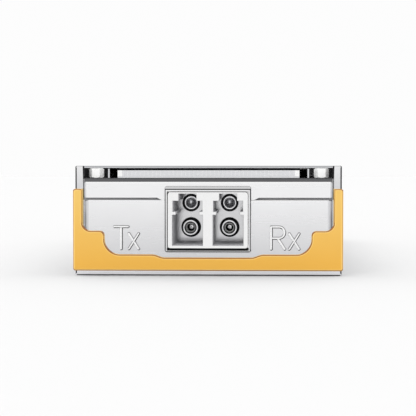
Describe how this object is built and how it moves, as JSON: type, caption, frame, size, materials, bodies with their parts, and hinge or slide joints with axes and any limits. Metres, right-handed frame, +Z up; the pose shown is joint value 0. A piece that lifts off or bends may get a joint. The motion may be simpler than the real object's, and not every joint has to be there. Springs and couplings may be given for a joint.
{
  "type": "cfp transceiver module",
  "caption": "Pluggable optical transceiver with a duplex fibre port, finned deck under a thin cover, rear edge plug and a yellow pull handle that works its side latches.",
  "frame": {"origin": "middle of the module's length and width, on its underside", "axes": "+X to the right seen from the ports, +Y from the ports to the rear plug, +Z up"},
  "size_m": [0.0414, 0.1076, 0.017],
  "materials": {
    "cast_shell": "nickel plated die casting",
    "fin_metal": "satin",
    "spacer_nylon": "moulded nylon",
    "bright_steel": "bright",
    "receptacle_metal": "satin plated",
    "gasket": "conductive elastomer",
    "zirconia": "polished",
    "package_gold": "gold plated",
    "flex_film": "amber film",
    "thermal_pad": "soft silicone",
    "board_laminate": "solder mask",
    "chip_black": "moulded",
    "capacitor_ceramic": "matte",
    "oscillator_can": "satin",
    "plug_black": "moulded",
    "contact_gold": "gold plated",
    "handle_yellow": "satin moulded",
    "spring_steel": "rolled stainless"
  },
  "bodies": {
    "housing": {"lower_housing": "cast_shell", "upper_housing": "cast_shell", "heat_sink": "fin_metal", "fin_cover": "fin_metal", "cover_standoffs": "spacer_nylon", "air_guide_left": "bright_steel", "air_guide_right": "bright_steel", "optics_clamp": "bright_steel", "clamp_pins": "bright_steel", "transmit_barrel": "bright_steel", "receive_barrel": "bright_steel", "lc_receptacle": "receptacle_metal", "shell_gaskets": "gasket", "receptacle_gasket": "gasket", "transmit_sleeve": "zirconia", "receive_sleeve": "zirconia", "transmit_stub": "zirconia", "receive_stub": "zirconia", "transmit_optics": "package_gold", "receive_optics": "package_gold", "transmit_lead": "flex_film", "receive_lead": "flex_film", "optics_pad": "thermal_pad", "processor_pad": "thermal_pad", "main_board": "board_laminate", "processor_chip": "chip_black", "controller_chip": "chip_black", "power_inductors": "chip_black", "supply_capacitors": "capacitor_ceramic", "clock_oscillator": "oscillator_can", "rear_plug": "plug_black", "upper_contacts": "contact_gold", "lower_contacts": "contact_gold", "return_spring_left": "spring_steel", "return_spring_right": "spring_steel"},
    "puller": {"pull_handle": "handle_yellow", "latch_arm_left": "spring_steel", "latch_arm_right": "spring_steel"}
  },
  "joints": [
    {"name": "handle_pull", "type": "slide", "parent": "housing", "child": "puller", "axis": [0, -1, 0], "range_m": [0, 0.004], "stiffness_N_per_m": 250, "springref_m": -0.003, "deforming": ["return_spring_left", "return_spring_right"]}
  ]
}
